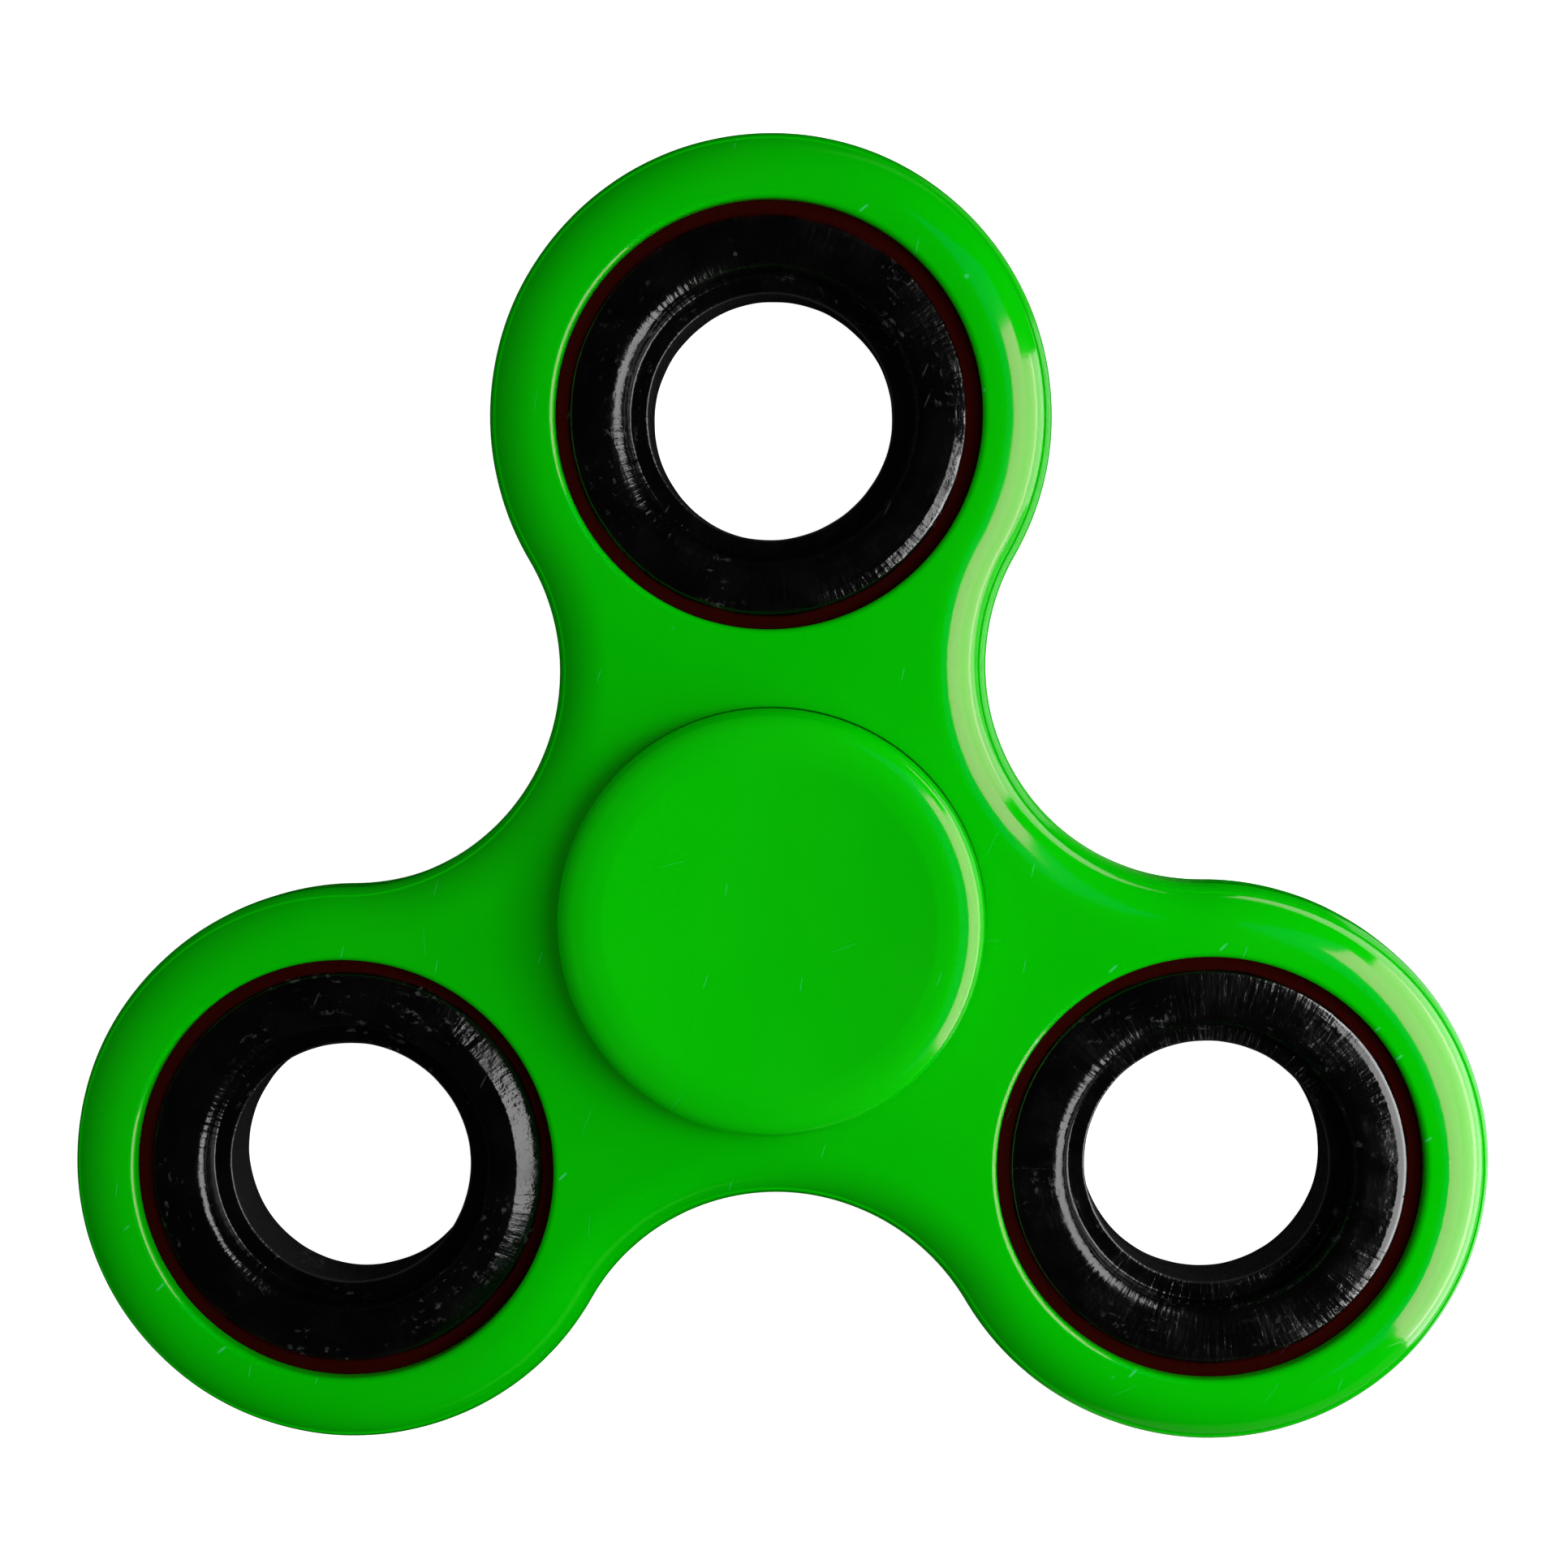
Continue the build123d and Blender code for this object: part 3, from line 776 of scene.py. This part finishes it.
def make_ring(arm):
    """One painted ring weight, with lumps in its paint and its own corner roundings."""
    paint = RING_PAINT[arm]
    width = paint["width"] * MM
    off = Vector(paint["off"]) * MM
    centre = ARM_CENTRES[arm]
    build = Build()
    profile = ring_profile(width, paint["sag"] * MM, paint["corner"] * MM)
    lathe(build, profile, RING_SEGMENTS, centre, closed=True)
    ring = build.finish(f"painted_ring_{arm + 1}")

    def free(co):
        """None of the noise at the seat's wall, where the ring is pressed in."""
        return min(1.0, max(0.0, (SEAT_RADIUS - hypot(co.x - centre.x, co.y - centre.y)) / (0.4 * MM)))

    for vertex in ring.data.vertices:
        place = vertex.co - centre
        down_slope = min(1.0, max(0.0, (hypot(place.x, place.y) - PAINT_RADIUS) / width + 1))
        aside = abs((degrees(atan2(place.y, place.x)) - paint["side"] + 180) % 360 - 180)
        leaning = min(1.0, max(0.0, (paint["reach"] - aside) / LEAN_FADE))
        if place.z > 0:
            vertex.co.z -= paint["lean"] * MM * down_slope * leaning
    waver(ring, [(2.6 * MM, 0.035 * MM), (0.9 * MM, 0.012 * MM)], seed=11 + arm, limit=free)
    outer_edge = ring.data.attributes.new("outer_edge", "FLOAT", "POINT")
    from_axis = ring.data.attributes.new("from_axis", "FLOAT_VECTOR", "POINT")
    for vertex in ring.data.vertices:
        place = vertex.co - centre
        from_axis.data[vertex.index].vector = place
        outer_edge.data[vertex.index].value = (hypot(place.x - off.x, place.y - off.y) - PAINT_RADIUS) / MM
    return ring


# ---------------------------------------------------------------- finger caps
def cap_profile():
    """The cap's section of (radius, height), from the dish over the rim and underneath to the post's core."""
    underside = HALF_BODY + CAP_GAP
    post_end = HALF_BEARING - CAP_POST_LENGTH
    core_end = post_end + CAP_CORE_DEPTH
    sphere = (CAP_DISH_RADIUS**2 + CAP_DISH_DEPTH**2) / (2 * CAP_DISH_DEPTH)
    bowl = []
    for n in range(DISH_STEPS):
        radius = CAP_DISH_RADIUS * n / DISH_STEPS
        bowl.append((radius, CAP_TOP - CAP_DISH_DEPTH + sphere - sqrt(sphere**2 - radius**2), 0))
    corners = [
        *bowl,
        (CAP_DISH_RADIUS, CAP_TOP, 1.5 * MM),
        (CAP_LAND_RADIUS, CAP_TOP, 2.5 * MM),
        *[(radius * MM, CAP_TOP - depth * MM, rounding * MM) for radius, depth, rounding in CAP_RIM],
        (CAP_RADIUS, CAP_TOP - CAP_SIDE_DEPTH, 0.5 * MM),
        (CAP_RADIUS - CAP_SIDE_TAPER, underside, 0.12 * MM),
        (CAP_BOSS_RADIUS, underside, 0.2 * MM),
        (CAP_BOSS_RADIUS, HALF_BEARING, 0),
        (CAP_POST_RADIUS, HALF_BEARING, 0),
        (CAP_POST_RADIUS, post_end, 0.3 * MM),
        (CAP_CORE_RADIUS, post_end, 0.1 * MM),
        (CAP_CORE_RADIUS, core_end, 0),
        (0, core_end, 0),
    ]
    return tidy(subdivided(rounded(corners, 0.07 * MM), 0.25 * MM), 0.01 * MM)


def make_cap(side, name):
    """One finger cap. side is 1 above the body and -1 below it."""
    build = Build()
    profile = [(p.x, side * p.y) for p in cap_profile()]
    lathe(build, profile, CAP_SEGMENTS, Vector((0, 0, 0)), closed=False)
    cap = build.finish(name)

    def mostly_crest(co):
        """All of the noise inside the crest and less of it at the rim."""
        return 1.0 if hypot(co.x, co.y) < CAP_RADIUS * 0.8 else 0.3

    waver(cap, [(7 * MM, 0.02 * MM)], seed=21 + side, limit=mostly_crest)
    return cap


# ---------------------------------------------------------------- put the object together
body_plastic = green_plastic("body_plastic", 0.98, 0.08, 0.02 * MM)
cap_plastic = green_plastic("cap_plastic", 1.07, 0.12, 0.015 * MM)
weight_paint = ring_paint("weight_paint")
race_steel = turned_steel("race_steel", (0.62, 0.62, 0.63, 1), 0.12, 9000, 0.002 * MM)
ball_steel = turned_steel("ball_steel", (0.78, 0.78, 0.79, 1), 0.05, 3000, 0.0005 * MM)
cage_steel = pressed_steel("cage_steel", (0.55, 0.55, 0.56, 1), 0.25)
shield_steel = turned_steel("shield_steel", (0.5, 0.5, 0.5, 1), 0.22, 7000, 0.003 * MM)
MATERIALS = {
    "body_plastic": body_plastic,
    "cap_plastic": cap_plastic,
    "weight_paint": weight_paint,
    "race_steel": race_steel,
    "ball_steel": ball_steel,
    "cage_steel": cage_steel,
    "shield_steel": shield_steel,
}


def fit(piece, slot, body, node):
    """Gives a new piece its material and its body, and hides the CAD node that it stands in for."""
    piece.data.materials.clear()
    piece.data.materials.append(MATERIALS[slot])
    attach(piece, body)
    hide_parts(node)


fit(make_body(), "body_plastic", "rotor", "tri_arm_body")
for arm in range(ARM_COUNT):
    fit(make_ring(arm), "weight_paint", "rotor", f"ring_weight_{arm + 1}")
fit(make_cap(1, "top_cap_moulding"), "cap_plastic", "hub", "finger_cap_top")
fit(make_cap(-1, "bottom_cap_moulding"), "cap_plastic", "hub", "finger_cap_bottom")

for subpart in frame["record"]["subparts"]:
    node = frame["nodes"][subpart["node"]]
    if not node.hide_render:
        node.data.materials.clear()
        node.data.materials.append(MATERIALS[subpart["material_slot"]])

# ---------------------------------------------------------------- studio
plastics = bpy.data.collections.new("plastics")
for name in ("moulded_body", "top_cap_moulding", "bottom_cap_moulding"):
    plastics.objects.link(bpy.data.objects[name])
scene = bpy.context.scene
scene.view_settings.view_transform = "Standard"

LIT_PATCH_GAP = 15.5 * MM
GLOW_GREEN = (0.25, 1, 0.2, 1)
HAZE_BLUE = (0, 0.35, 1)
LEFTWARDS = Vector((-1, 0, 0))
TOP_LIGHT = Vector((168, 20, 246))
HAZE = Vector((144, 10, 148))
CAMERA_PLACE = Vector((7.33, 15.59, 161.8)) * MM
CAMERA_TURN = Euler((0.054, -0.042, 0.006), "XYZ")
CAMERA_LENS = 70.66
SENSOR_WIDTH = 36


def make_floor():
    """A plain white table top under the bottom cap.

    In reflections it is a dim mirror with painted light on it: a green glow on its lit side, standing in for
    light bounced off the object, and a bright white patch beyond, standing in for the lit table.
    """
    bpy.ops.mesh.primitive_plane_add(size=4, location=(0, 0, FLOOR_LEVEL))
    floor = bpy.context.object
    floor.name = "floor"
    n = Nodes("floor_white")
    east, north, _ = n.split(n.place())
    above_right_arm = n.product(n.span(east, 17 * MM, 24 * MM), n.span(north, -5 * MM, 1 * MM))
    glow = n.product(n.span(east, 9 * MM, 15 * MM), n.math("SUBTRACT", 1.0, above_right_arm))
    below_top_edge = n.math("LESS_THAN", n.math("SUBTRACT", north, n.product(east, 0.28)), 26 * MM)
    right_of_waist = n.math("GREATER_THAN", n.total(north, east), 9.5 * MM)
    painted_lit_patch = n.product(below_top_edge, right_of_waist)
    for centre in ARM_CENTRES:
        gap = n.vector_math("DISTANCE", n.place(), (*centre[:2], 0))
        glow = n.product(glow, n.span(gap, 0.8 * LOBE_RADIUS, LOBE_RADIUS))
        painted_lit_patch = n.product(painted_lit_patch, n.math("GREATER_THAN", gap, LOBE_RADIUS + LIT_PATCH_GAP))
    mirror = n.node("ShaderNodeBsdfGlossy", {"Color": (0.1, 0.1, 0.1, 1), "Roughness": 0.12}).outputs[0]
    # Painted reflections: emission seen only by glossy rays, a green glow near the body and a bright patch of
    # lit table further out
    near = n.emission(n.product(glow, 0.45), GLOW_GREEN)
    far = n.emission(n.product(painted_lit_patch, 3.2))
    path = n.node("ShaderNodeLightPath").outputs
    unseen = n.blended(path["Is Glossy Ray"], n.diffuse(0.72), n.added(mirror, near, far))
    seen = n.added(n.diffuse(0.8), n.emission(0.9))
    floor.data.materials.append(n.finish(n.blended(path["Is Camera Ray"], unseen, seen)))


def make_light(name, place, aim, width, height, radiance, shines, colour=(1, 1, 1)):
    """A soft rectangular light facing along aim, its place and size in mm.

    If it shines it shows only in reflections. Otherwise it only lights surfaces.
    """
    light = bpy.data.lights.new(name, "AREA")
    light.shape = "RECTANGLE"
    light.size = width * MM
    light.size_y = height * MM
    light.color = colour
    light.energy = radiance * pi * light.size * light.size_y
    light.cycles.use_multiple_importance_sampling = shines
    holder = bpy.data.objects.new(name, light)
    holder.location = Vector(place) * MM
    holder.rotation_euler = aim.to_track_quat("-Z", "Y").to_euler()
    holder.visible_camera = False
    holder.visible_glossy = shines
    holder.visible_diffuse = not shines
    scene.collection.objects.link(holder)
    return holder


def make_world(fill, gleam):
    """Pale surroundings to look at, fill for diffuse surfaces and a much dimmer gleam for glossy ones."""
    world = bpy.data.worlds.new("studio")
    scene.world = world
    world.use_nodes = True
    tree = world.node_tree
    tree.nodes.clear()
    path = tree.nodes.new("ShaderNodeLightPath")
    lit = tree.nodes.new("ShaderNodeOutputWorld").inputs["Surface"]
    shaders = []
    for strength in (fill, gleam, 1.0):
        shader = tree.nodes.new("ShaderNodeBackground")
        shader.inputs["Color"].default_value = (1, 1, 1, 1)
        shader.inputs["Strength"].default_value = strength
        shaders.append(shader.outputs[0])
    for ray, shader in (("Is Glossy Ray", shaders[1]), ("Is Camera Ray", shaders[2])):
        mix = tree.nodes.new("ShaderNodeMixShader")
        tree.links.new(path.outputs[ray], mix.inputs[0])
        tree.links.new(shaders[0], mix.inputs[1])
        tree.links.new(shader, mix.inputs[2])
        shaders[0] = mix.outputs[0]
    tree.links.new(shaders[0], lit)


def make_camera():
    """Looks almost straight down, from a little above and to the right of the spin axis."""
    camera = bpy.data.cameras.new("camera")
    camera.sensor_width = SENSOR_WIDTH
    camera.lens = CAMERA_LENS
    camera.clip_start = 10 * MM
    holder = bpy.data.objects.new("camera", camera)
    turn = CAMERA_TURN.to_matrix().transposed().to_4x4()
    holder.matrix_world = Matrix.Translation(CAMERA_PLACE) @ turn
    scene.collection.objects.link(holder)
    scene.camera = holder


make_floor()
make_world(fill=0.33, gleam=0.008)
make_camera()
make_light("side_light", (93, 2, 46.5), LEFTWARDS, width=156, height=107, radiance=1.65, shines=False)
make_light("top_light", TOP_LIGHT, -TOP_LIGHT, width=100, height=220, radiance=6.25, shines=False)
make_light("low_shine", (93, -16, 15.5), LEFTWARDS, width=136, height=45, radiance=6.0, shines=True)
make_light("high_shine", (93, -8, 78), LEFTWARDS, width=152, height=80, radiance=7.0, shines=True)
haze = make_light("haze", HAZE, -HAZE, width=330, height=160, radiance=0.75, shines=True, colour=HAZE_BLUE)
haze.light_linking.receiver_collection = plastics
